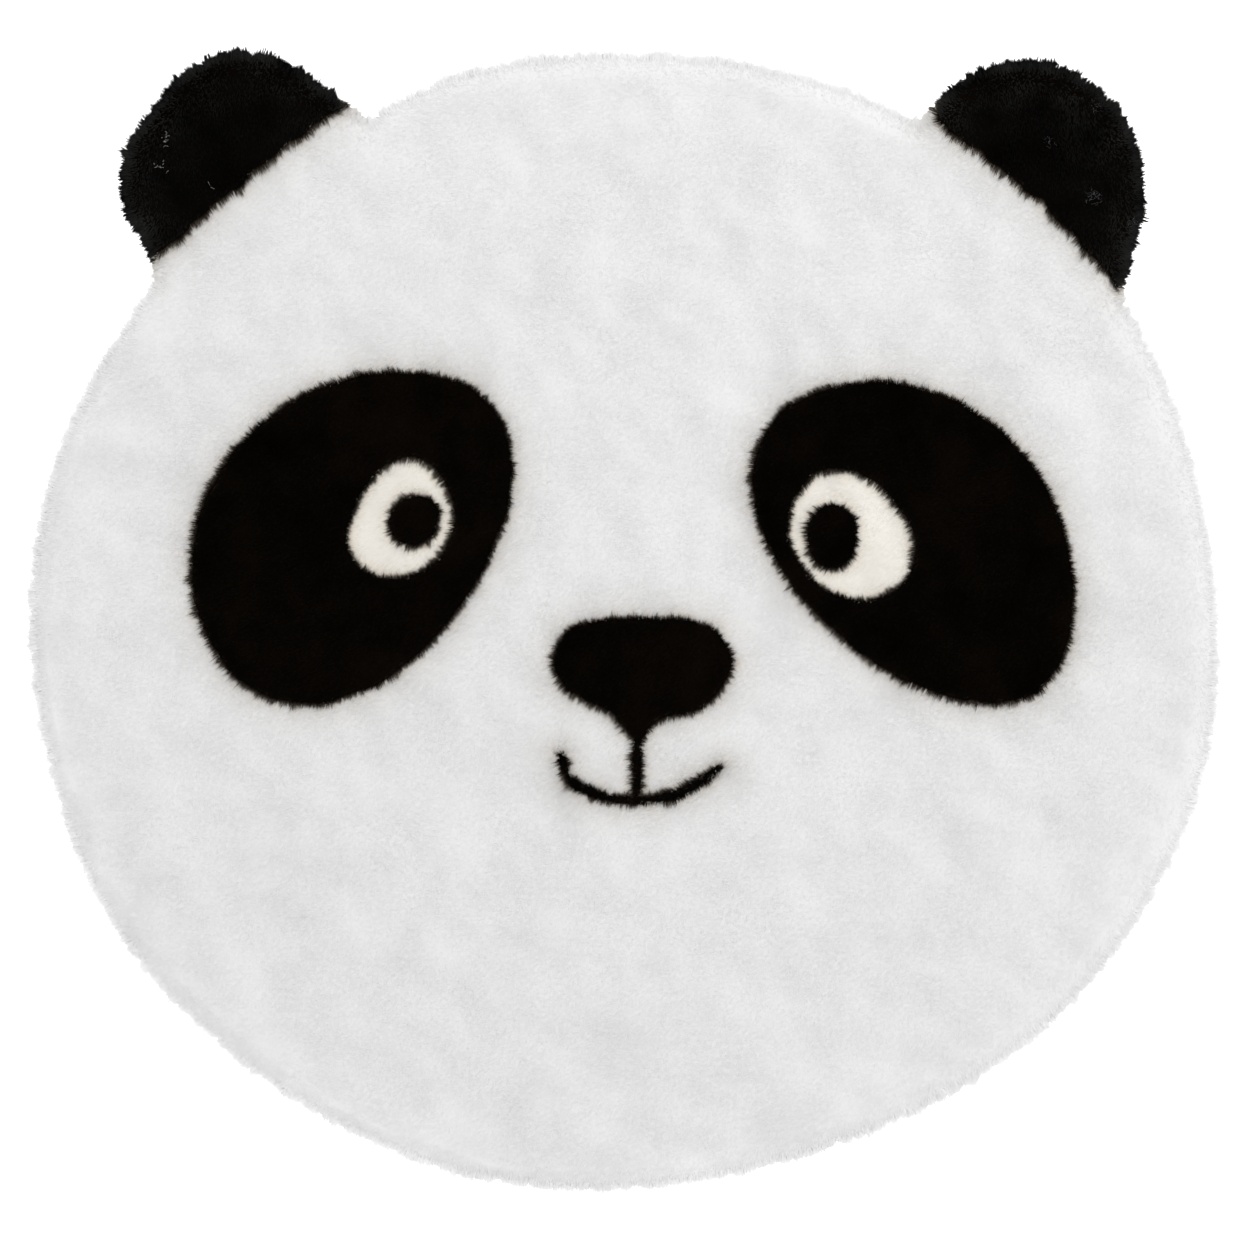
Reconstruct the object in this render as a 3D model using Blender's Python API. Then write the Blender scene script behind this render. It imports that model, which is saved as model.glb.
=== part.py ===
"""A child's plush floor rug in the shape of a panda's head, lying flat.

It is one piece of long-pile plush on a knitted ground cloth, cut to shape with both ears, and its
black and cream face is printed on the pile. The solid reaches from the ground cloth on the floor to
the tips of the pile: a soft slab with a lumpy top, a rounded shoulder and tufts round its rim.

Metres, +Z up. The rug lies on z = 0 with its ears towards +Y and its chin towards -Y, and the
origin is on the floor under the middle of the rug. The face keeps material slots of its own, flush
with the white pile, because print is colour alone.
"""

import math
import random

import bmesh
import bpy
import numpy as np
from mathutils import Vector, noise
from mathutils.geometry import delaunay_2d_cdt

# Heights over the floor.
PILE_HEIGHT = 0.018  # mean height of the pile's tips
BIG_CLUMPS = (0.065, 0.0014)  # how far apart the pile's soft swells lie, and how high they are
SMALL_CLUMPS = (0.026, 0.0009)
SHOULDER_DROP = 0.0022  # the pile fans out and down along the rim
CROWN_HEIGHT = 0.0125
SIDE_HEIGHT = 0.0085

# How far inside the line of the tuft tips each level lies.
SHOULDER_INSET = 0.0115
CROWN_INSET = 0.0045
SIDE_INSET = 0.0030
GROUND_INSET = 0.0085  # the cut edge of the ground cloth

# Tufts round the rim.
LOCKS = 288
LOCK_SHARE = (0.78, 0.92)  # of the space between one tuft and the next
LOCK_REACH = 0.0006  # past the tip line, on average
LOCK_UNEVEN = 0.0022
LOCK_SWAY = 0.0024  # sideways, along the rim
WALL_UNEVEN = 0.0011  # how far the pile over a tuft stands out, and sinks between tufts
LOCK_TIP_SHARE = 0.50  # a tip's width, of its root's
LOCK_TIP_HEIGHT = 0.0048
LOCK_TIP_UNEVEN = (0.7, 1.3)  # shares of that height
LOCK_SEED = 11
NOTCH_CLEAR = 0.011  # the two corners of an ear have no tufts, because they would cross there

# The pile's mesh: a staggered grid, between the rim's rows and the edges of the prints.
PILE_STEP = 0.0205
PILE_CLEAR = 0.0075  # of the grid's points from those rows and edges
GRID_HALF = 0.5  # how far the grid runs from the origin before it is cut to the rug
SAME_POINT = 1e-6
ARC_STEP = 1.0  # degrees between points read from a reach table
LINE_STEPS = 2  # points to each stretch of the nose's curve
PATCH_POINTS = 30
WHITE_POINTS = 18
PUPIL_POINTS = 12
CLUMP_LAYER = 9.5  # sets the two sizes of clump apart

# The head's reach from HEAD_MIDDLE to the tips of the tufts, anticlockwise from +X.
HEAD_MIDDLE = (0.0, 0.0)
HEAD_REACH = (
    # degrees, metres
    (0, 0.450),
    (15, 0.447),
    (30, 0.449),
    (45, 0.445),
    (60, 0.438),
    (75, 0.433),
    (90, 0.429),
    (105, 0.432),
    (120, 0.426),
    (135, 0.437),
    (150, 0.439),
    (165, 0.447),
    (180, 0.450),
    (195, 0.449),
    (210, 0.452),
    (225, 0.446),
    (240, 0.441),
    (255, 0.438),
    (270, 0.431),
    (285, 0.428),
    (300, 0.434),
    (315, 0.446),
    (330, 0.452),
    (345, 0.455),
)

# Each ear's reach from its own middle, from one notch to the other, anticlockwise from +X.
LEFT_EAR_MIDDLE = (-0.2895, 0.3440)
LEFT_EAR_REACH = (
    (18, 0.103),
    (30, 0.095),
    (45, 0.089),
    (70, 0.088),
    (100, 0.087),
    (125, 0.084),
    (148, 0.082),
    (170, 0.089),
    (200, 0.096),
    (220, 0.096),
    (233, 0.105),
)
RIGHT_EAR_MIDDLE = (0.3155, 0.3405)
RIGHT_EAR_REACH = (
    (-56, 0.109),
    (-40, 0.095),
    (-20, 0.086),
    (5, 0.079),
    (30, 0.077),
    (60, 0.078),
    (80, 0.082),
    (105, 0.087),
    (130, 0.093),
    (150, 0.096),
    (159, 0.101),
)

# The line where an ear's black begins: from its tip near the brow to its tip near the cheek, and
# how far it bows away from the head.
LEFT_EAR_LINE = ((-0.210, 0.387), (-0.354, 0.270), 0.004)
RIGHT_EAR_LINE = ((0.373, 0.251), (0.236, 0.374), 0.008)
EAR_FLARE = 0.8  # how much the black widens past the line's ends, along the ear's rim
EAR_SEAM_SHARES = (0.08, 0.22, 0.36, 0.50, 0.64, 0.78, 0.92)

# Eggs: middle, length, width, tilt from +X in degrees, how much wider the far end is, and bend.
LEFT_PATCH = ((-0.207, 0.070), 0.286, 0.209, 49, -0.07, -0.012)
RIGHT_PATCH = ((0.226, 0.062), 0.290, 0.200, 135, 0.07, 0.013)
LEFT_WHITE = ((-0.166, 0.075), 0.087, 0.071, 64, -0.05, 0.007)
RIGHT_WHITE = ((0.173, 0.063), 0.100, 0.080, 130, 0.0, -0.003)
LEFT_PUPIL = ((-0.158, 0.075), 0.044, 0.040, 48, 0.0, 0.0)
RIGHT_PUPIL = ((0.158, 0.062), 0.052, 0.040, 90, 0.0, 0.0)

# The nose is a broad rounded triangle, run into the stem below it.
NOSE = (
    (0.015, 0.003),
    (-0.035, -0.004),
    (-0.055, -0.031),
    (-0.043, -0.056),
    (-0.008, -0.073),
    (0.004, -0.087),
    (0.018, -0.087),
    (0.030, -0.077),
    (0.072, -0.061),
    (0.084, -0.033),
    (0.065, -0.004),
)
STEM = ((0.011, -0.080), (0.0105, -0.134))
SMILE = (
    (-0.047, -0.102),
    (-0.038, -0.122),
    (-0.014, -0.134),
    (0.012, -0.1375),
    (0.042, -0.132),
    (0.070, -0.113),
)
LINE_WIDTH = 0.0095

WHITE, BLACK, CREAM, GROUND = range(4)
FINISHES = (
    # name, colour, roughness
    ("white_pile", (0.80, 0.81, 0.82), 0.95),
    ("black_pile", (0.006, 0.005, 0.005), 0.90),
    ("cream_pile", (0.87, 0.83, 0.79), 0.95),
    ("ground_cloth", (0.62, 0.60, 0.57), 0.90),
)


def clear_scene():
    for old in list(bpy.data.objects):
        bpy.data.objects.remove(old, do_unlink=True)


def reach_at(rows, degrees, closed=False):
    """A smooth reading between the rows of a table of (degrees, metres), which may run full circle."""
    if closed:
        degrees %= 360
        before, first, last = rows[-1], rows[0], rows[1]
        rows = ((before[0] - 360, before[1]), *rows, (first[0] + 360, first[1]), (last[0] + 360, last[1]))
    at = max(i for i, row in enumerate(rows[:-1]) if row[0] <= degrees or i == 0)
    (a, low), (b, high) = rows[at], rows[at + 1]
    before, after = rows[max(at - 1, 0)], rows[min(at + 2, len(rows) - 1)]
    slope_low = (high - before[1]) / (b - before[0]) * (b - a)
    slope_high = (after[1] - low) / (after[0] - a) * (b - a)
    t = (degrees - a) / (b - a)
    return (
        (2 * t**3 - 3 * t**2 + 1) * low
        + (t**3 - 2 * t**2 + t) * slope_low
        + (3 * t**2 - 2 * t**3) * high
        + (t**3 - t**2) * slope_high
    )


def turn(middle, degrees, reach):
    angle = math.radians(degrees)
    return Vector((middle[0] + reach * math.cos(angle), middle[1] + reach * math.sin(angle)))


def bearing(point):
    """A point's direction from the middle of the head, in degrees from +X."""
    return math.degrees(math.atan2(point.y - HEAD_MIDDLE[1], point.x - HEAD_MIDDLE[0])) % 360


def arc(middle, rows, start, end, closed=False):
    """Points from start up to, but without, end."""
    count = max(2, round((end - start) / ARC_STEP))
    turns = [start + (end - start) * i / count for i in range(count)]
    return [turn(middle, degrees, reach_at(rows, degrees, closed)) for degrees in turns]


def ear_arc(middle, rows):
    """An ear's rim, from its first notch to its last."""
    return arc(middle, rows, rows[0][0], rows[-1][0]) + [turn(middle, *rows[-1])]


def rug_outline():
    """The line of the tuft tips, anticlockwise, and its four notches where the ears meet the head."""
    right = ear_arc(RIGHT_EAR_MIDDLE, RIGHT_EAR_REACH)
    left = ear_arc(LEFT_EAR_MIDDLE, LEFT_EAR_REACH)
    brow = arc(HEAD_MIDDLE, HEAD_REACH, bearing(right[-1]) + ARC_STEP, bearing(left[0]), True)
    chin = arc(HEAD_MIDDLE, HEAD_REACH, bearing(left[-1]) + ARC_STEP, bearing(right[0]) + 360, True)
    return right + brow + left + chin, (right[0], right[-1], left[0], left[-1])


def spaced(points, shares):
    """Points along a closed line, at these shares of its length."""
    line = points + points[:1]
    lengths = [0.0]
    for a, b in zip(line, line[1:]):
        lengths.append(lengths[-1] + (b - a).length)
    found, at = [], 0
    for share in shares:
        along = share * lengths[-1]
        while lengths[at + 1] < along:
            at += 1
        t = (along - lengths[at]) / (lengths[at + 1] - lengths[at])
        found.append(line[at].lerp(line[at + 1], t))
    return found


def outwards(points):
    """The direction straight out of an anticlockwise line at each of its points."""
    ways = []
    for before, after in zip(points[-1:] + points[:-1], points[1:] + points[:1]):
        along = (after - before).normalized()
        ways.append(Vector((along.y, -along.x)))
    return ways


def smooth_loop(points):
    """A closed curve through a few points."""
    ring = [Vector(p) for p in points]
    count = len(ring)
    found = []
    for i in range(count):
        a, b, c, d = (ring[(i + k - 1) % count] for k in range(4))
        for step in range(LINE_STEPS):
            t = step / LINE_STEPS
            found.append(
                0.5 * (2 * b + (c - a) * t + (2 * a - 5 * b + 4 * c - d) * t**2 + (3 * b - a - 3 * c + d) * t**3)
            )
    return found


def egg(points, middle, length, width, tilt, taper, bend):
    """An egg, with the end that its tilt points to wider where taper is over 0, bent along its length."""
    along = Vector((math.cos(math.radians(tilt)), math.sin(math.radians(tilt))))
    across = Vector((-along.y, along.x))
    found = []
    for i in range(points):
        angle = 2 * math.pi * i / points
        u = length / 2 * math.cos(angle)
        v = width / 2 * math.sin(angle) * (1 + taper * math.cos(angle)) + bend * math.cos(angle) ** 2
        found.append(Vector(middle) + along * u + across * v)
    return found


def stroke(points, width):
    """The outline of a drawn line with round ends."""
    line = [Vector(p) for p in points]
    ways = []
    for i in range(len(line)):
        along = (line[min(i + 1, len(line) - 1)] - line[max(i - 1, 0)]).normalized()
        ways.append(Vector((along.y, -along.x)) * width / 2)
    right = [p + way for p, way in zip(line, ways)]
    left = [p - way for p, way in zip(line, ways)]
    end_way = Vector((-ways[-1].y, ways[-1].x))
    start_way = Vector((ways[0].y, -ways[0].x))
    return right + [line[-1] + end_way] + left[::-1] + [line[0] + start_way]


def face_prints():
    """Each printed shape with its slot, the later ones lying over the earlier."""
    return (
        (BLACK, egg(PATCH_POINTS, *LEFT_PATCH)),
        (BLACK, egg(PATCH_POINTS, *RIGHT_PATCH)),
        (CREAM, egg(WHITE_POINTS, *LEFT_WHITE)),
        (CREAM, egg(WHITE_POINTS, *RIGHT_WHITE)),
        (BLACK, egg(PUPIL_POINTS, *LEFT_PUPIL)),
        (BLACK, egg(PUPIL_POINTS, *RIGHT_PUPIL)),
        (BLACK, smooth_loop(NOSE)),
        (BLACK, stroke(STEM, LINE_WIDTH)),
        (BLACK, stroke(SMILE, LINE_WIDTH)),
    )


def ear_frame(start, end):
    """An ear line's start, length, and directions along it and out over the ear."""
    start, end = Vector(start), Vector(end)
    along = (end - start).normalized()
    return start, (end - start).length, along, Vector((along.y, -along.x))


def ear_line(start, end, bow, share):
    """A point along the line where an ear's black begins."""
    first, length, along, out = ear_frame(start, end)
    return first + along * length * share + out * 4 * bow * share * (1 - share)


def past_ear_line(point, start, end, bow):
    """True on an ear's black, which widens past the line's ends."""
    first, length, along, out = ear_frame(start, end)
    over, share = (point - first).dot(out), (point - first).dot(along) / length
    flare = EAR_FLARE * over / length
    return over > max(0, 4 * bow * share * (1 - share)) and -flare <= share <= 1 + flare


def inside(point, loop):
    """True if a point lies inside a closed line."""
    found = False
    for a, b in zip(loop, loop[1:] + loop[:1]):
        if (a.y > point.y) != (b.y > point.y):
            if point.x < a.x + (point.y - a.y) / (b.y - a.y) * (b.x - a.x):
                found = not found
    return found


def slot_at(point, prints):
    if past_ear_line(point, *LEFT_EAR_LINE) or past_ear_line(point, *RIGHT_EAR_LINE):
        return BLACK
    slots = [slot for slot, loop in prints if inside(point, loop)]
    return slots[-1] if slots else WHITE


def pile_height(point):
    """The height of the pile's tips, which stand in soft clumps."""
    height = PILE_HEIGHT
    for layer, (size, rise) in enumerate((BIG_CLUMPS, SMALL_CLUMPS)):
        height += rise * noise.noise(Vector((point.x / size, point.y / size, layer * CLUMP_LAYER)))
    return height


def lines_of(loop, closed=True):
    """A line's stretches, as pairs of points."""
    ends = loop[1:] + loop[:1] if closed else loop[1:]
    return list(zip(loop, ends))


def gaps_to(points, stretches):
    """How far each point is from the nearest stretch."""
    at = np.array(points)[:, None, :]
    low = np.array([a for a, b in stretches])[None]
    way = np.array([b - a for a, b in stretches])[None]
    t = (((at - low) * way).sum(2) / (way**2).sum(2)).clip(0, 1)
    return np.linalg.norm(at - low - way * t[:, :, None], axis=2).min(1)


def free_points(rim, seams):
    """A staggered grid over the pile, clear of its rim rows and of the edges of the prints."""
    rows = round(GRID_HALF / PILE_STEP)
    grid = []
    for row in range(-rows, rows + 1):
        for column in range(-rows, rows + 1):
            x = (column + 0.5 * (row % 2)) * PILE_STEP
            grid.append(Vector((x, row * PILE_STEP * math.sqrt(0.75))))
    grid = [point for point in grid if inside(point, rim)]
    from_rim = gaps_to(grid, lines_of(rim))
    from_seams = gaps_to(grid, seams)
    return [
        point
        for point, rim_gap, seam_gap in zip(grid, from_rim, from_seams)
        if rim_gap > SHOULDER_INSET + PILE_CLEAR and seam_gap > PILE_CLEAR
    ]


def add_ring(mesh, points, ways, insets, heights):
    places = (point - way * inset for point, way, inset in zip(points, ways, insets))
    return [mesh.verts.new((*place, height)) for place, height in zip(places, heights)]


def add_wall(mesh, rim, ways, ground, side, crown, notches, draw):
    """The rim from the ground cloth to the crown, with a tuft on every other stretch."""
    count = len(rim)
    for i in range(count):
        j = (i + 1) % count
        mesh.faces.new((side[i], side[j], crown[j], crown[i]))
        middle = rim[i].lerp(rim[j], 0.5)
        clear = min((middle - notch).length for notch in notches)
        if i % 2 or clear < NOTCH_CLEAR:
            mesh.faces.new((ground[i], ground[j], side[j], side[i]))
            continue
        along = rim[j] - rim[i]
        out = ways[i].lerp(ways[j], 0.5)
        reach = LOCK_REACH + draw.uniform(-LOCK_UNEVEN, LOCK_UNEVEN)
        tip = middle + out * reach + along.normalized() * draw.uniform(-LOCK_SWAY, LOCK_SWAY)
        near, far = tip - along * LOCK_TIP_SHARE / 2, tip + along * LOCK_TIP_SHARE / 2
        height = LOCK_TIP_HEIGHT * draw.uniform(*LOCK_TIP_UNEVEN)
        places = ((near, 0), (far, 0), (far, height), (near, height))
        corners = [mesh.verts.new((*place, z)) for place, z in places]
        roots = (ground[i], ground[j], side[j], side[i])
        mesh.faces.new(corners)
        for k in range(4):
            mesh.faces.new((roots[k], roots[(k + 1) % 4], corners[(k + 1) % 4], corners[k]))


def add_pile(mesh, rim, ways, crown, prints):
    """The lumpy top of the pile, with edges along the prints."""
    crown_line = [Vector(vert.co[:2]) for vert in crown]
    shoulder = [rim[i].lerp(rim[i + 1], 0.5) - ways[i] * SHOULDER_INSET for i in range(0, len(rim), 2)]
    ear_seams = [
        [ear_line(*ends, share) for share in EAR_SEAM_SHARES] for ends in (LEFT_EAR_LINE, RIGHT_EAR_LINE)
    ]
    points = list(crown_line)
    edges = [(i, (i + 1) % len(points)) for i in range(len(points))]
    seams = []
    for line, closed in [(loop, True) for slot, loop in prints] + [(line, False) for line in ear_seams]:
        first = len(points)
        points += line
        edges += [(first + i, first + (i + 1) % len(line)) for i in range(len(line) - (not closed))]
        seams += lines_of(line, closed)
    first_shoulder = len(points)
    points += shoulder + free_points(rim, seams)
    flat, _, faces, sources, _, _ = delaunay_2d_cdt(points, edges, [], 1, SAME_POINT)
    verts = []  # where two prints cross there is a new point, with no source
    for place, source in zip(flat, sources):
        at = min(source) if source else len(points)
        if at < len(crown):
            verts.append(crown[at])
            continue
        on_shoulder = first_shoulder <= at < first_shoulder + len(shoulder)
        height = pile_height(place) - SHOULDER_DROP * on_shoulder
        verts.append(mesh.verts.new((*place, height)))
    for face in faces:
        mesh.faces.new([verts[i] for i in face])


def build_rug():
    draw = random.Random(LOCK_SEED)
    tips, notches = rug_outline()
    shares = [(k + part) / LOCKS for k in range(LOCKS) for part in (0, draw.uniform(*LOCK_SHARE))]
    rim = spaced(tips, shares)
    ways = outwards(rim)
    prints = face_prints()
    swell = [pile_height(point) - PILE_HEIGHT for point in rim]
    wave = [draw.uniform(-WALL_UNEVEN, WALL_UNEVEN) for k in range(LOCKS) for end in range(2)]
    mesh = bmesh.new()
    ground = add_ring(mesh, rim, ways, [GROUND_INSET] * len(rim), [0.0] * len(rim))
    side = add_ring(mesh, rim, ways, [SIDE_INSET + w for w in wave], [SIDE_HEIGHT + rise for rise in swell])
    crown = add_ring(mesh, rim, ways, [CROWN_INSET - w for w in wave], [CROWN_HEIGHT + rise for rise in swell])
    mesh.faces.new(ground)
    add_wall(mesh, rim, ways, ground, side, crown, notches, draw)
    add_pile(mesh, rim, ways, crown, prints)
    bmesh.ops.recalc_face_normals(mesh, faces=mesh.faces)
    for face in mesh.faces:
        middle = face.calc_center_median()
        underneath = max(vert.co.z for vert in face.verts) == 0
        face.material_index = GROUND if underneath else slot_at(Vector(middle[:2]), prints)
        face.smooth = not underneath
    data = bpy.data.meshes.new("plush_rug")
    mesh.to_mesh(data)
    mesh.free()
    for finish in FINISHES:
        data.materials.append(make_material(*finish))
    rug = bpy.data.objects.new("plush_rug", data)
    bpy.context.scene.collection.objects.link(rug)
    return rug


def make_material(name, colour, roughness):
    material = bpy.data.materials.new(name)
    material.use_nodes = True
    surface = material.node_tree.nodes["Principled BSDF"]
    surface.inputs["Base Color"].default_value = (*colour, 1)
    surface.inputs["Roughness"].default_value = roughness
    surface.inputs["Metallic"].default_value = 0
    return material


clear_scene()
build_rug()
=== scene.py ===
import math
import random
from functools import partial

import bmesh
import bpy
import numpy as np
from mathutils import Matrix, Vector, noise
from mathutils.geometry import delaunay_2d_cdt


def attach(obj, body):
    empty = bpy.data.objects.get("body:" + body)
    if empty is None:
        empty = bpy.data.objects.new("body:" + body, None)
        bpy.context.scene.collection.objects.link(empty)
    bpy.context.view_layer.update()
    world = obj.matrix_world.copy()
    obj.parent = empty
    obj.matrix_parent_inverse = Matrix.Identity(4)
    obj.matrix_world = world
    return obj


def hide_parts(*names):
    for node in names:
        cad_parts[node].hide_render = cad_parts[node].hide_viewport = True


# Looks of a child's plush floor rug in the shape of a panda's head, lying flat with its ears
# towards +Y. Metres, +Z up. The sections follow the rug from its ground cloth upwards.
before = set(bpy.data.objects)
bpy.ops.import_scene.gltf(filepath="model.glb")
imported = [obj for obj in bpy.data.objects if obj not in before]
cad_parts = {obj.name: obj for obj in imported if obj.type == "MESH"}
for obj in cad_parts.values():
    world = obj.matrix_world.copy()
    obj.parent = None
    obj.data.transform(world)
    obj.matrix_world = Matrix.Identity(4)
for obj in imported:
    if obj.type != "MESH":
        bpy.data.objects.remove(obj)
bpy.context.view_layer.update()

# --- Ground cloth --------------------------------------------------------------------------------
# A knitted polyester cloth that carries the pile. It is cut to the head's outline in one piece with
# both ears, lies flat on the floor, and ends a little inside the tips of the rim's pile.
CLOTH_THICKNESS = 0.0016
CLOTH_INSET = 0.0085  # from the tips of the rim's pile
CLOTH_COLOUR = (0.66, 0.645, 0.62)
RIM_STEP = 0.0016  # between the points of the line round those tips
INSET_STEP = 0.0005  # by which that line is moved in at a time
NEIGHBOUR_SHARE = 0.2  # of each neighbour in a moved point's place, so that the line stays smooth
WALE, COURSE = 0.0013, 0.0010  # the knit's stitches, across and along
STITCH_SLANT = 0.7
LOOP_RELIEF = 0.55
# The stitches' shade: painted shade where they lie low, and uneven from yarn to yarn.
LOW_SHADE, HEIGHT_SHADE, UNEVEN_SHADE = 0.62, 0.30, 0.16
YARN_PER_METRE = 60.0  # how finely the yarn's shade varies
HEAD_REACH = (
    # degrees from +X round the middle of the head, metres to the tips of the pile
    (0, 0.450), (15, 0.447), (30, 0.449), (45, 0.444), (60, 0.438), (75, 0.433),
    (90, 0.429), (105, 0.432), (120, 0.426), (135, 0.436), (150, 0.439), (165, 0.447),
    (180, 0.449), (195, 0.448), (210, 0.450), (225, 0.444), (240, 0.439), (255, 0.437),
    (270, 0.431), (285, 0.428), (300, 0.433), (315, 0.444), (330, 0.451), (345, 0.455),
)
LEFT_EAR_MIDDLE = (-0.2895, 0.3440)
LEFT_EAR_REACH = (
    # degrees from +X round the middle of the ear, metres, from one notch to the other
    (18, 0.103), (30, 0.093), (45, 0.086), (70, 0.086), (100, 0.085), (125, 0.081),
    (148, 0.079), (170, 0.086), (200, 0.094), (220, 0.094), (233, 0.105),
)
RIGHT_EAR_MIDDLE = (0.3155, 0.3405)
RIGHT_EAR_REACH = (
    (-56, 0.109), (-40, 0.092), (-20, 0.083), (5, 0.076), (30, 0.075), (60, 0.076),
    (80, 0.079), (105, 0.084), (130, 0.090), (150, 0.094), (159, 0.101),
)


def reach_at(rows, degrees, closed=False):
    """A smooth reading between the rows of a table of (degrees, metres), which may run full circle."""
    if closed:
        degrees %= 360
        before, first, last = rows[-1], rows[0], rows[1]
        rows = ((before[0] - 360, before[1]), *rows, (first[0] + 360, first[1]), (last[0] + 360, last[1]))
    at = max(i for i, row in enumerate(rows[:-1]) if row[0] <= degrees or i == 0)
    (a, low), (b, high) = rows[at], rows[at + 1]
    before, after = rows[max(at - 1, 0)], rows[min(at + 2, len(rows) - 1)]
    slope_low = (high - before[1]) / (b - before[0]) * (b - a)
    slope_high = (after[1] - low) / (after[0] - a) * (b - a)
    t = (degrees - a) / (b - a)
    return (
        (2 * t**3 - 3 * t**2 + 1) * low
        + (t**3 - 2 * t**2 + t) * slope_low
        + (3 * t**2 - 2 * t**3) * high
        + (t**3 - t**2) * slope_high
    )


def arc(middle, rows, start, end, closed=False):
    """Points a degree apart round a middle."""
    turns = np.linspace(start, end, max(3, round(end - start)))
    reach = np.array([reach_at(rows, degrees, closed) for degrees in turns])
    angles = np.radians(turns)
    return np.array(middle) + np.stack([np.cos(angles), np.sin(angles)], 1) * reach[:, None]


def bearing(point):
    return math.degrees(math.atan2(point[1], point[0])) % 360


def evenly(line, step):
    """A closed line's points, set again at one step apart."""
    ends = np.vstack([line, line[:1]])
    along = np.concatenate([[0], np.linalg.norm(np.diff(ends, axis=0), axis=1).cumsum()])
    at = np.arange(0, along[-1] - step / 2, step)
    return np.stack([np.interp(at, along, ends[:, k]) for k in range(2)], 1)


def ways_in(line):
    """The direction straight inwards at each point of an anticlockwise line."""
    along = np.roll(line, -1, 0) - np.roll(line, 1, 0)
    along /= np.linalg.norm(along, axis=1)[:, None]
    return np.stack([-along[:, 1], along[:, 0]], 1)


def moved_in(line, inset):
    """A line moved inwards point by point, and kept smooth where it turns at a notch."""
    steps = math.ceil(inset / INSET_STEP)
    for _ in range(steps):
        line = line + ways_in(line) * inset / steps
        beside = np.roll(line, 1, 0) + np.roll(line, -1, 0)
        line = (1 - 2 * NEIGHBOUR_SHARE) * line + NEIGHBOUR_SHARE * beside
    return line


left_ear = arc(LEFT_EAR_MIDDLE, LEFT_EAR_REACH, LEFT_EAR_REACH[0][0], LEFT_EAR_REACH[-1][0])
right_ear = arc(RIGHT_EAR_MIDDLE, RIGHT_EAR_REACH, RIGHT_EAR_REACH[0][0], RIGHT_EAR_REACH[-1][0])
brow = arc((0, 0), HEAD_REACH, bearing(right_ear[-1]) + 1, bearing(left_ear[0]) - 1, True)
chin = arc((0, 0), HEAD_REACH, bearing(left_ear[-1]) + 1, bearing(right_ear[0]) + 359, True)
rim = evenly(np.vstack([right_ear, brow, left_ear, chin]), RIM_STEP)  # the line of the pile's tips
cut = moved_in(rim, CLOTH_INSET)


def put(tree, kind, settings=None, inputs=None):
    """A node with its settings. An input is a plain value or another node's output socket."""
    made = tree.nodes.new(kind)
    for name, value in (settings or {}).items():
        setattr(made, name, value)
    for name, value in (inputs or {}).items():
        socket = made.inputs[name] if isinstance(name, int) else next(
            s for s in made.inputs if s.name == name and s.enabled
        )
        if isinstance(value, bpy.types.NodeSocket):
            tree.links.new(value, socket)
        else:
            socket.default_value = value
    return made


def out(made, name=None):
    """A node's output socket in use, by its name where it has several."""
    return next(s for s in made.outputs if s.enabled and name in (None, s.name))


def maths_in(tree, operation, *values):
    return out(put(tree, "ShaderNodeMath", {"operation": operation}, dict(enumerate(values))))


def vectors_in(tree, operation, *values):
    return put(tree, "ShaderNodeVectorMath", {"operation": operation}, dict(enumerate(values))).outputs[0]


def part(tree, vector, axis):
    return put(tree, "ShaderNodeSeparateXYZ", inputs={0: vector}).outputs[axis]


def own_place(tree):
    return put(tree, "ShaderNodeTexCoord").outputs["Object"]


def noise_at(tree, place, per_metre, detail=2.0, roughness=0.5):
    """A node of soft random values."""
    return put(tree, "ShaderNodeTexNoise", inputs={
        "Vector": place, "Scale": per_metre, "Detail": detail, "Roughness": roughness
    })


def about_zero(tree, textured):
    return maths_in(tree, "SUBTRACT", textured.outputs["Fac"], 0.5)


def new_group(name, kind, inputs, outputs):
    """An empty node group with sockets, given by their kind, their name and their value."""
    tree = bpy.data.node_groups.new(name, kind)
    for in_out, kinds in (("INPUT", inputs), ("OUTPUT", outputs)):
        for socket_kind, rows in kinds.items():
            for label, value in rows.items():
                socket_type = "NodeSocket" + socket_kind
                socket = tree.interface.new_socket(label, in_out=in_out, socket_type=socket_type)
                if value is not None:
                    socket.default_value = value
    return tree, tree.nodes.new("NodeGroupInput"), tree.nodes.new("NodeGroupOutput")


def set_values(made, values):
    for name, value in values.items():
        made.inputs[name].default_value = value


def new_material(name, roughness, sheen=0.0, sheen_roughness=0.5, specular=0.3):
    material = bpy.data.materials.new(name)
    material.use_nodes = True
    surface = material.node_tree.nodes["Principled BSDF"]
    set_values(surface, {
        "Roughness": roughness, "Sheen Weight": sheen, "Sheen Roughness": sheen_roughness,
        "Specular IOR Level": specular,
    })
    return material, material.node_tree, surface


def roughen(tree, surface, height, strength, distance):
    """Fine relief on a surface, as bump."""
    raised = put(tree, "ShaderNodeBump", inputs={
        "Strength": strength, "Distance": distance, "Height": height
    })
    tree.links.new(raised.outputs[0], surface.inputs["Normal"])


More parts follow.
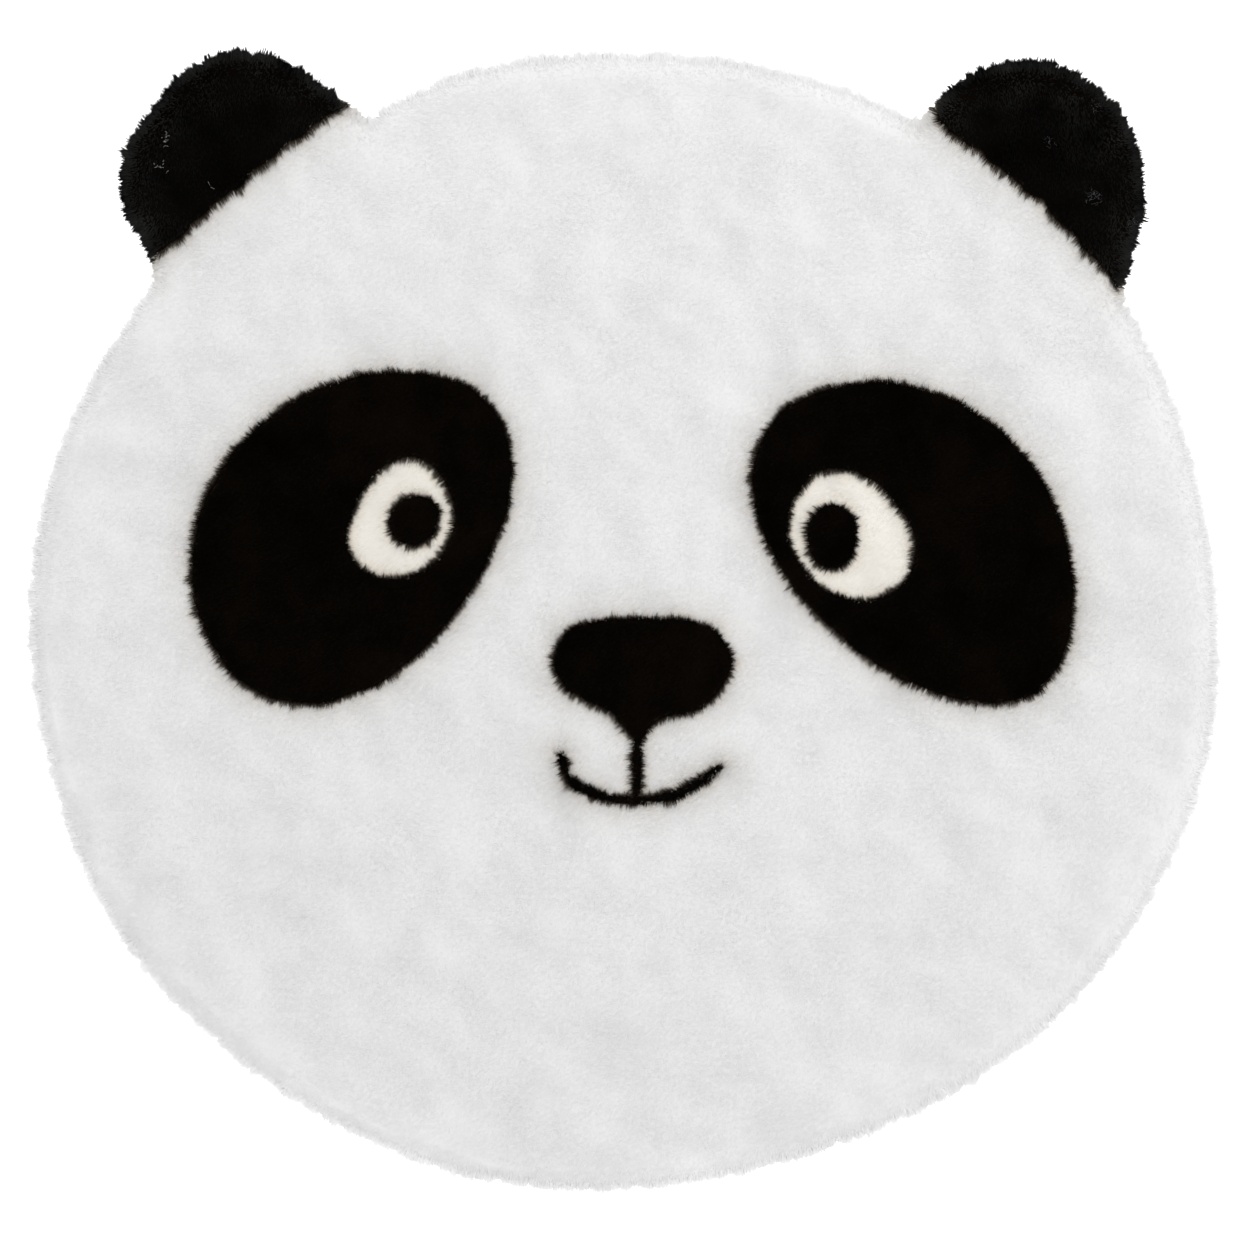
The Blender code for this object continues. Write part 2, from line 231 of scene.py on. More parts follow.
def knit_group():
    """Rows of V-shaped knit stitches in the plane of the cloth: their height, and their shade, painted
    darker where they lie low.
    """
    tree, given, result = new_group(
        "knit_stitches",
        "ShaderNodeTree",
        {"Float": {"Wale": WALE, "Course": COURSE}},
        {"Float": {"Height": 0.0, "Shade": 0.0}},
    )
    maths = partial(maths_in, tree)

    def humps(at):
        """Rounded humps in a row, each of them 1 long."""
        return maths("ABSOLUTE", maths("SINE", maths("MULTIPLY", at, math.pi)))

    place = own_place(tree)
    leg = humps(maths("DIVIDE", part(tree, place, "X"), given.outputs["Wale"]))
    along = maths("DIVIDE", part(tree, place, "Y"), given.outputs["Course"])
    loop = humps(maths("ADD", along, maths("MULTIPLY", leg, STITCH_SLANT)))
    height = maths("MULTIPLY", leg, maths("MULTIPLY_ADD", loop, LOOP_RELIEF, 1 - LOOP_RELIEF))
    uneven = noise_at(tree, place, YARN_PER_METRE, 3.0)
    # Painted shade in the stitches' hollows.
    shade = maths("MULTIPLY_ADD", height, HEIGHT_SHADE, LOW_SHADE)
    shade = maths("ADD", shade, maths("MULTIPLY", uneven.outputs["Fac"], UNEVEN_SHADE))
    tree.links.new(height, result.inputs["Height"])
    tree.links.new(shade, result.inputs["Shade"])
    return tree


cloth_finish, tree, surface = new_material("knitted_cloth", 0.92, 0.15)
stitches = put(tree, "ShaderNodeGroup", {"node_tree": knit_group()})
tint = vectors_in(tree, "MULTIPLY", CLOTH_COLOUR, stitches.outputs["Shade"])
tree.links.new(tint, surface.inputs["Base Color"])
roughen(tree, surface, stitches.outputs["Height"], 0.6, 0.0004)


def in_scene(name, data):
    made = bpy.data.objects.new(name, data)
    bpy.context.scene.collection.objects.link(made)
    return made


def new_piece(name, mesh, material):
    mesh.materials.append(material)
    piece = in_scene(name, mesh)
    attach(piece, "root")
    return piece


def slab(name, loop, low, high):
    """A flat closed slab inside a line."""
    shape = bmesh.new()
    rings = [[shape.verts.new((*point, height)) for point in loop] for height in (low, high)]
    shape.faces.new(rings[0][::-1])
    shape.faces.new(rings[1])
    for i in range(len(loop)):
        j = (i + 1) % len(loop)
        shape.faces.new((rings[0][i], rings[0][j], rings[1][j], rings[1][i]))
    mesh = bpy.data.meshes.new(name)
    shape.to_mesh(mesh)
    shape.free()
    return mesh


cloth_mesh = slab("ground_cloth", cut, 0.0, CLOTH_THICKNESS)
ground_cloth = new_piece("ground_cloth", cloth_mesh, cloth_finish)

# --- Underfur ------------------------------------------------------------------------------------
# The pile's short dense fibres, which fill the space under its long tips. They are knitted into the
# ground cloth and brushed up, and the print colours them as it does the tips.
PILE_HEIGHT = 0.018  # mean height of the tips over the floor
BIG_CLUMPS = (0.065, 0.0014)  # how far apart the pile's soft swells lie, and how high they are
SMALL_CLUMPS = (0.026, 0.0009)
CLUMP_LAYER = 9.5  # sets the two sizes of clump apart
UNDERFUR_DEPTH = 0.0013  # under the tips
UNDERFUR_STEP = 0.0038  # between the points of its top
TOP_MARGIN = 0.6  # of a step, kept free of points inside the top's edge
GRID_REACH = 0.5  # from the middle, inside which its top has points of its own
UNDERFUR_RIM = (
    # from the line of the tips, over the floor, and how far its tufts show, from the cloth upwards
    (0.0085, 0.0012, 0.0),
    (0.0060, 0.0016, 0.5),
    (0.0040, 0.0036, 1.0),
    (0.0030, 0.0068, 1.0),
    (0.0030, 0.0100, 1.0),
    (0.0038, 0.0128, 0.9),
    (0.0058, 0.0147, 0.6),
    (0.0090, 0.0158, 0.3),
    (0.0135, 0.0164, 0.1),
)
TUFT_PITCH = 0.0095  # of the lumps into which the pile gathers along the rim
TUFT_RELIEF = 0.0045
TUFT_MEAN = 0.6  # of a lump's height, taken off so that the rim keeps its line
# How uneven the lumps' places, sizes and edges are: over what length, how much, and noise's layer.
TUFT_PLACES = (0.030, 1.6, 3.1)
TUFT_SIZES = (0.013, 1.3, 7.7)
TUFT_EDGES = (0.006, 0.8, 5.3)
NAP = (-0.0036, -0.0022, 0.0)  # the way in which brushing leaves the tips, from their roots

# The print. An ear's black begins at a line, from its tip near the brow to its tip near the cheek,
# that bows away from the head, and it widens past the line's ends.
LEFT_EAR_LINE = ((-0.210, 0.387), (-0.354, 0.270), 0.004)
RIGHT_EAR_LINE = ((0.373, 0.251), (0.236, 0.374), 0.008)
EAR_FLARE = 0.8
# How far that line wanders, over what length, and from where.
EAR_WANDER = ((0.0009, 0.031, 0.0), (0.0006, 0.019, 1.0))
# Eggs: middle, length, width, tilt from +X in degrees, how much wider the far end is, bend, and how
# much slimmer both ends are than an ellipse's.
LEFT_PATCH = ((-0.207, 0.0695), 0.282, 0.208, 49, -0.07, -0.012, 0.02)
RIGHT_PATCH = ((0.227, 0.062), 0.286, 0.1970, 135, 0.07, 0.013, 0.05)
LEFT_WHITE = ((-0.1657, 0.0746), 0.092, 0.0755, 64, -0.02, 0.006, 0.0)
RIGHT_WHITE = ((0.171, 0.063), 0.106, 0.0855, 130, 0.0, -0.003, 0.0)
LEFT_PUPIL = ((-0.1572, 0.0757), 0.041, 0.037, 48, 0.0, 0.0, 0.0)
RIGHT_PUPIL = ((0.158, 0.063), 0.050, 0.0375, 90, 0.0, 0.0, 0.0)
# The nose is a broad rounded triangle, run into the stem below it.
NOSE = (
    (0.015, 0.0020), (-0.035, -0.004), (-0.053, -0.029), (-0.0425, -0.053), (-0.008, -0.0710),
    (0.0065, -0.088), (0.0155, -0.088), (0.024, -0.0775), (0.052, -0.0695), (0.0735, -0.055),
    (0.0825, -0.029), (0.063, -0.004),
)
STEM = ((0.011, -0.080), (0.0105, -0.134))
SMILE = (
    (-0.0465, -0.102), (-0.038, -0.122), (-0.014, -0.133),
    (0.012, -0.136), (0.042, -0.131), (0.073, -0.111),
)
LINE_WIDTH = 0.0064
LINE_ENDS = (0.96, 0.010)  # how wide the lines' ends are, and over what length that changes
PRINT_WANDER = (45.0, 3.0, 0.6)  # the dye's edge wanders by a noise: its scale, detail and roughness
PRINT_WOBBLE = 0.008
PRINT_SPREAD = 0.0008  # of the black's hairs over its line, which is drawn in by as much
AT_ONCE = 2000  # points worked on together


def smooth_line(points, closed=False, steps=6):
    """A smooth curve through a few points."""
    line = np.array(points)
    line = np.vstack([line[-1:], line, line[:2]]) if closed else np.vstack([line[:1], line, line[-1:]])
    found = []
    for a, b, c, d in zip(line, line[1:], line[2:], line[3:]):
        for t in np.arange(steps) / steps:
            turn = (2 * a - 5 * b + 4 * c - d) * t**2 + (3 * b - a - 3 * c + d) * t**3
            found.append((2 * b + (c - a) * t + turn) / 2)
    return np.array(found if closed else found + [line[-1]])


def egg(middle, length, width, tilt, taper, bend, slim):
    angle = np.linspace(0, 2 * math.pi, 60, endpoint=False)
    far = np.cos(angle)
    u = length / 2 * far
    v = width / 2 * np.sin(angle) * (1 + taper * far - slim * far**2) + bend * far**2
    lean = math.radians(tilt)
    along = np.array((math.cos(lean), math.sin(lean)))
    across = np.array((-math.sin(lean), math.cos(lean)))
    return np.array(middle) + u[:, None] * along + v[:, None] * across


def nearest(points, line, closed=True):
    """The nearest place on a line to each point, and how far off it is."""
    low = line if closed else line[:-1]
    way = (np.roll(line, -1, 0) if closed else line[1:]) - low
    places, gaps = np.empty_like(points), np.empty(len(points))
    for first in range(0, len(points), AT_ONCE):
        some = slice(first, first + AT_ONCE)
        these = points[some, None]
        t = (((these - low) * way).sum(2) / (way**2).sum(1)).clip(0, 1)
        on = low + way * t[:, :, None]
        far = np.linalg.norm(these - on, axis=2)
        best = far.argmin(1)
        places[some] = on[np.arange(len(best)), best]
        gaps[some] = far.min(1)
    return places, gaps


def is_inside(points, loop):
    found = np.zeros(len(points), bool)
    for a, b in zip(loop, np.roll(loop, -1, 0)):
        if a[1] != b[1]:
            between = (a[1] > points[:, 1]) != (b[1] > points[:, 1])
            crossed = a[0] + (points[:, 1] - a[1]) / (b[1] - a[1]) * (b[0] - a[0])
            found ^= between & (points[:, 0] < crossed)
    return found


def depth_in(points, loop):
    """How far inside a closed line each point lies, and under 0 outside it."""
    gaps = nearest(points, loop)[1]
    return np.where(is_inside(points, loop), gaps, -gaps)


def depth_in_ear(points, start, end, bow):
    """The same for an ear's black."""
    start, end = np.array(start), np.array(end)
    length = np.linalg.norm(end - start)
    along = (end - start) / length
    over = (points - start) @ np.array((along[1], -along[0]))
    run = (points - start) @ along
    share = (run / length).clip(0, 1)
    slant = math.hypot(1, EAR_FLARE)
    ends = np.minimum(run + EAR_FLARE * over, length - run + EAR_FLARE * over) / slant
    for far, period, start_turn in EAR_WANDER:
        over = over + far * np.sin(2 * math.pi * run / period + start_turn)
    return np.minimum(over - 4 * bow * share * (1 - share), ends)


def print_depths(points):
    """How deep each point lies in the black, in the cream and in the white of the print."""
    eyes = []
    black = np.maximum(depth_in_ear(points, *LEFT_EAR_LINE), depth_in_ear(points, *RIGHT_EAR_LINE))
    for patch, white, pupil in (
        (LEFT_PATCH, LEFT_WHITE, LEFT_PUPIL), (RIGHT_PATCH, RIGHT_WHITE, RIGHT_PUPIL)
    ):
        in_white, in_pupil = depth_in(points, egg(*white)), depth_in(points, egg(*pupil))
        black = np.maximum(black, np.minimum(depth_in(points, egg(*patch)), -in_white))
        black = np.maximum(black, in_pupil)
        eyes.append(np.minimum(in_white, -in_pupil))
    black = np.maximum(black, depth_in(points, smooth_line(NOSE, True)))
    for line in (np.array(STEM), smooth_line(SMILE)):
        on, gaps = nearest(points, line, False)
        to_end = np.minimum(*(np.linalg.norm(on - end, axis=1) for end in (line[0], line[-1])))
        wider = LINE_ENDS[0] + (1 - LINE_ENDS[0]) * (to_end / LINE_ENDS[1]).clip(0, 1)
        black = np.maximum(black, LINE_WIDTH / 2 * wider - gaps)
    black -= PRINT_SPREAD
    cream = np.minimum(np.maximum(*eyes) + PRINT_SPREAD, -black)
    return {"black": black, "cream": cream, "white": -np.maximum(black, cream)}


def way_out_of_black(points, step=0.001):
    """The direction straight out of the nearest black, on the cloth."""
    depth = [print_depths(points + np.array(way) * step)["black"] for way in ((0, 0), (1, 0), (0, 1))]
    way = np.stack([depth[0] - depth[1], depth[0] - depth[2]], 1) / step
    return np.column_stack([way / np.linalg.norm(way, axis=1).clip(1e-6)[:, None], np.zeros(len(points))])


def tip_height(point):
    """The height of the pile's tips, which stand in soft clumps."""
    height = PILE_HEIGHT
    for layer, (size, rise) in enumerate((BIG_CLUMPS, SMALL_CLUMPS)):
        height += rise * noise.noise(Vector((point[0] / size, point[1] / size, layer * CLUMP_LAYER)))
    return height


def rim_tufts():
    """How far each point of the rim stands out, from -1 between two tufts to 1 on a big one."""

    def uneven(length, amount, layer):
        return amount * noise.noise(Vector((along / length, layer, 0.0)))

    found = []
    for along in np.arange(len(rim)) * RIM_STEP:
        lump = abs(math.sin(math.pi * (along / TUFT_PITCH + uneven(*TUFT_PLACES)))) - TUFT_MEAN
        found.append(lump * (1.0 + uneven(*TUFT_SIZES)) + uneven(*TUFT_EDGES))
    return np.array(found)


def add_values(mesh, values):
    """Named numbers or vectors for each of a mesh's points."""
    for name, found in values.items():
        found = np.asarray(found, np.float32)
        kind, label = ("FLOAT_VECTOR", "vector") if found.ndim == 2 else ("FLOAT", "value")
        mesh.attributes.new(name, kind, "POINT").data.foreach_set(label, found.ravel())


def underfur_mesh():
    """A closed low slab: rings up its rounded rim, and a softly lumpy top."""
    count, tufts = len(rim), rim_tufts()
    swell = np.array([tip_height(point) - PILE_HEIGHT for point in rim])
    edge = [(i, (i + 1) % count) for i in range(count)]
    places, heights, faces = [], [], []
    for level, (inset, height, share) in enumerate(UNDERFUR_RIM):
        line = moved_in(rim, inset)
        places.append(line - ways_in(line) * (tufts * share * TUFT_RELIEF / 2)[:, None])
        heights.append(height + swell * level / (len(UNDERFUR_RIM) - 1))
        if level:
            low, high = count * (level - 1), count * level
            faces += [(low + i, low + j, high + j, high + i) for i, j in edge]
    faces.append(tuple(range(count))[::-1])
    inner = places[-1]
    rows = round(GRID_REACH / UNDERFUR_STEP)
    row, column = (x.ravel() for x in np.mgrid[-rows : rows + 1, -rows : rows + 1])
    across = (column + 0.5 * (row % 2)) * UNDERFUR_STEP
    grid = np.stack([across, row * UNDERFUR_STEP * math.sqrt(0.75)], 1)
    grid = grid[np.linalg.norm(grid, axis=1) < GRID_REACH]
    grid = grid[depth_in(grid, inner) > UNDERFUR_STEP * TOP_MARGIN]
    points = np.vstack([inner, grid])
    flat, _, top, _, _, _ = delaunay_2d_cdt([Vector(p) for p in points], edge, [], 1, 1e-7)
    assert len(flat) == len(points)  # the top's points are still in their own order
    first = count * (len(UNDERFUR_RIM) - 1)
    faces += [tuple(first + i for i in face) for face in top]
    places = np.vstack([*places, grid])
    tips = [tip_height(point) - UNDERFUR_DEPTH for point in grid]
    heights = np.concatenate([*heights, tips])
    mesh = bpy.data.meshes.new("underfur")
    mesh.from_pydata(np.column_stack([places, heights]).tolist(), [], faces)
    values = {name + "_depth": found for name, found in print_depths(places).items()}
    on_rim, gap = nearest(places, rim)
    to_rim = np.column_stack([(on_rim - places) / gap.clip(1e-4)[:, None], np.zeros(len(places))])
    add_values(mesh, {**values, "way_out": way_out_of_black(places), "rim_gap": gap, "to_rim": to_rim})
    mesh.shade_smooth()
    return mesh


def ranged(tree, value, low, high, to_low, to_high, kind="LINEAR"):
    """A value moved from one range into another, and held at its ends."""
    return out(put(tree, "ShaderNodeMapRange", {"interpolation_type": kind}, {
        "Value": value, "From Min": low, "From Max": high, "To Min": to_low, "To Max": to_high
    }))


def blended(tree, share, under, over):
    colours = {"Factor": share, "A": under, "B": over}
    return out(put(tree, "ShaderNodeMix", {"data_type": "RGBA"}, colours))


STAIN_PATCHES = (110.0, 3.0)  # of brown beside the black: how many to a metre, and how strong
# Painted shade: small streaky partings in the nap, painted darker into the pile's colour.
PARTING_SHADE_PER_METRE = 240.0
PARTING_SHADE_RANGE = (0.14, 0.35)  # of the noise, from no parting to a full one
DYE_UNEVEN = 1.2
HAIR_TURN = 0.0030  # out of the black, where a hair has taken on the next colour


def pile_colour_group():
    """The colour of printed pile: cloudy, uneven from lock to lock, with painted shade in small partings
    and at its roots, painted light towards the rim, and dyed where it lies close to the next colour."""
    tree, given, result = new_group(
        "pile_colour",
        "ShaderNodeTree",
        {
            "Color": {"Colour": (0.8, 0.8, 0.8, 1), "Dye": (0.01, 0.01, 0.01, 1)},
            "Vector": {"Stain": (0.0, 0.06, 0.14)},
            "Float": {
                "Dye Amount": 0.52, "Dye Reach": 0.0027, "Dye Outside": 0.0, "Stain Reach": 0.007,
                "Grey": 0.20, "Grey Reach": 0.013, "Rim Painted Light": 0.0, "Painted Light Reach": 0.007, "Rim Gap": 1.0,
                "Depth": 1.0, "Tone": 0.5, "Along": 1.0, "Uneven": 0.1, "Root Shade": 0.8,
                "Cloud Size": 0.05, "Clouds": 0.06, "Parting Shade": 0.06,
            },
        },
        {"Color": {"Colour": (0, 0, 0, 1)}},
    )
    maths, vectors = partial(maths_in, tree), partial(vectors_in, tree)
    value = given.outputs
    place = own_place(tree)

    def noise_of(per_metre, at=place, detail=2.0):
        """A soft random value from place to place, about 0."""
        return about_zero(tree, noise_at(tree, at, per_metre, detail))

    def near(depth, reach):
        """How close to the edge of the print, from 1 on it to 0 far off."""
        return maths("EXPONENT", maths("DIVIDE", maths("MULTIPLY", depth, -1.0), reach))

    cloud = noise_of(maths("DIVIDE", 1.0, value["Cloud Size"]))
    tone = maths("SUBTRACT", value["Tone"], 0.5)
    shade = maths("MULTIPLY_ADD", cloud, value["Clouds"], 1.0)
    shade = maths("MULTIPLY_ADD", tone, value["Uneven"], shade)
    streaks = noise_of(PARTING_SHADE_PER_METRE, vectors("MULTIPLY", place, (0.6, 1.0, 1.0)), 1.0)
    streaks = maths("SUBTRACT", streaks, cloud)
    # Painted shade in the partings.
    parting_shade = ranged(tree, streaks, *PARTING_SHADE_RANGE, 0.0, value["Parting Shade"])
    shade = maths("SUBTRACT", shade, parting_shade)
    # Painted shade towards the locks' roots.
    root = ranged(tree, value["Along"], 0.0, 1.0, value["Root Shade"], 1.0)
    shade = maths("MULTIPLY", shade, root)
    depth = maths("MAXIMUM", value["Depth"], 0.0)
    patchy = maths("MULTIPLY_ADD", noise_of(STAIN_PATCHES[0]), STAIN_PATCHES[1], 1.0)
    patchy = maths("MAXIMUM", patchy, 0.0)
    grey = maths("MULTIPLY", near(depth, value["Grey Reach"]), value["Grey"])
    shade = maths("MULTIPLY", shade, maths("SUBTRACT", 1.0, grey))
    # Painted light: the colour is made lighter towards the line of the pile's tips.
    painted_rim_light = maths("MULTIPLY", near(value["Rim Gap"], value["Painted Light Reach"]), value["Rim Painted Light"])
    shade = maths("MULTIPLY", shade, maths("ADD", 1.0, painted_rim_light))
    stained = maths("MULTIPLY", near(depth, value["Stain Reach"]), patchy)
    stained = vectors("MULTIPLY", value["Stain"], stained)
    clean = vectors("MULTIPLY", value["Colour"], vectors("SUBTRACT", (1, 1, 1), stained))
    uneven = maths("MULTIPLY", depth, maths("MULTIPLY_ADD", tone, DYE_UNEVEN, 1.0))
    dyed = maths("MULTIPLY", near(uneven, value["Dye Reach"]), value["Dye Amount"])
    outside = ranged(tree, value["Depth"], 0.0, -HAIR_TURN, 0.0, value["Dye Outside"])
    dyed = maths("MAXIMUM", dyed, outside)
    mixed = blended(tree, dyed, clean, value["Dye"])
    tree.links.new(vectors("MULTIPLY", mixed, shade), result.inputs["Colour"])
    return tree


def read(tree, name):
    return put(tree, "ShaderNodeAttribute", {"attribute_name": name}).outputs["Fac"]


pile_colour = pile_colour_group()


def printed(tree, finish, depth, tone, along):
    """The colour of pile in one colour of the print."""
    return out(put(tree, "ShaderNodeGroup", {"node_tree": pile_colour}, {
        **finish, "Depth": depth, "Tone": tone, "Along": along, "Rim Gap": read(tree, "rim_gap")
    }))


BLACK_DYE = (0.010, 0.007, 0.005, 1)
# The head's white is painted a little lighter towards the rim, as painted light.
WHITE_PILE = {
    "Colour": (0.86, 0.86, 0.86, 1), "Dye": BLACK_DYE, "Rim Painted Light": 0.06, "Painted Light Reach": 0.020,
    "Uneven": 0.01, "Root Shade": 0.98, "Cloud Size": 0.055, "Clouds": 0.115, "Parting Shade": 0.02,
}
CREAM_PILE = {
    "Colour": (0.90, 0.873, 0.818, 1), "Dye": BLACK_DYE, "Grey": 0.0, "Stain Reach": 0.005,
    "Uneven": 0.02, "Root Shade": 0.98, "Cloud Size": 0.03, "Clouds": 0.10, "Parting Shade": 0.04,
}
BLACK_PILE = {
    "Colour": (0.0036, 0.0025, 0.0016, 1), "Dye": (0.06, 0.051, 0.042, 1), "Dye Amount": 0.5,
    "Dye Reach": 0.0006, "Stain": (0, 0, 0), "Grey": 0.0, "Uneven": 0.8, "Root Shade": 0.6,
    "Cloud Size": 0.04, "Clouds": 2.0, "Parting Shade": 0.0,
}
HAIRS_PER_METRE = 700.0
HAIR_WOBBLE = 0.002  # of the print's edge, from hair to hair


def underfur_material():
    """All three colours of the print on one surface, with hairy edges between them."""
    material, tree, surface = new_material("brushed_underfur", 0.95, specular=0.0)
    maths = partial(maths_in, tree)
    place = own_place(tree)
    hairs = noise_at(tree, place, HAIRS_PER_METRE)
    tone = hairs.outputs["Fac"]
    ragged = maths("MULTIPLY", about_zero(tree, hairs), HAIR_WOBBLE)
    wander = about_zero(tree, noise_at(tree, place, *PRINT_WANDER))
    ragged = maths("MULTIPLY_ADD", wander, PRINT_WOBBLE, ragged)
    colour = None
    for name, finish in (("white", WHITE_PILE), ("cream", CREAM_PILE), ("black", BLACK_PILE)):
        grows = "ADD" if name == "black" else "SUBTRACT"
        depth = maths(grows, read(tree, name + "_depth"), ragged)
        # At Along 0 the underfur takes the painted shade of the roots all over.
        own = printed(tree, finish, depth, tone, 0.0)
        covers = maths("GREATER_THAN", depth, 0.0)
        colour = own if colour is None else blended(tree, covers, colour, own)
    tree.links.new(colour, surface.inputs["Base Color"])
    roughen(tree, surface, tone, 0.25, 0.0010)
    return material


underfur = new_piece("underfur", underfur_mesh(), underfur_material())
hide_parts("plush_rug")

# --- White pile of the head ----------------------------------------------------------------------
# Long fine polyester pile, sheared level and brushed, so that its tips lean a little and gather in
# soft swirls and partings. It is left in the yarn's own cool white. Four fields cover the head.
RIM_BAND = 0.0075  # from the line of the tips, inside which the pile splays out
BROW_LINE, CHIN_LINE = 0.14, -0.17  # where the fields meet
SWIRL_SIZE = 0.045  # of the soft turns in the nap
CLUMP_STRETCH = 0.45  # of the clumps' noise in X, which makes them longer that way
CALM_RIM = 0.003  # from the line of the tips, inside which the nap has no hold
TUFTED_RIM = (0.002, 0.0100)  # from that line, between which the tufting fades
TUFTS_PER_METRE, SPIKES_PER_METRE = 160.0, 320.0
SHORTEST = 0.2  # of a lock's mean length
LOCK_BEND = 1.5  # over 1, a lock bends more and more towards its tip
LEAF_TURN = -0.577  # makes a three-cornered leaf's foot 1 wide, and faces it to +Y
FACING = (0, 0, -0.0025)  # added to the lean that a leaf faces
FACING_STRAY = (0.0007, 0.0007, 0)
UNDERSIDE = -0.9  # the normal's Z under which nothing grows
FLOOR_GAP = 0.0004


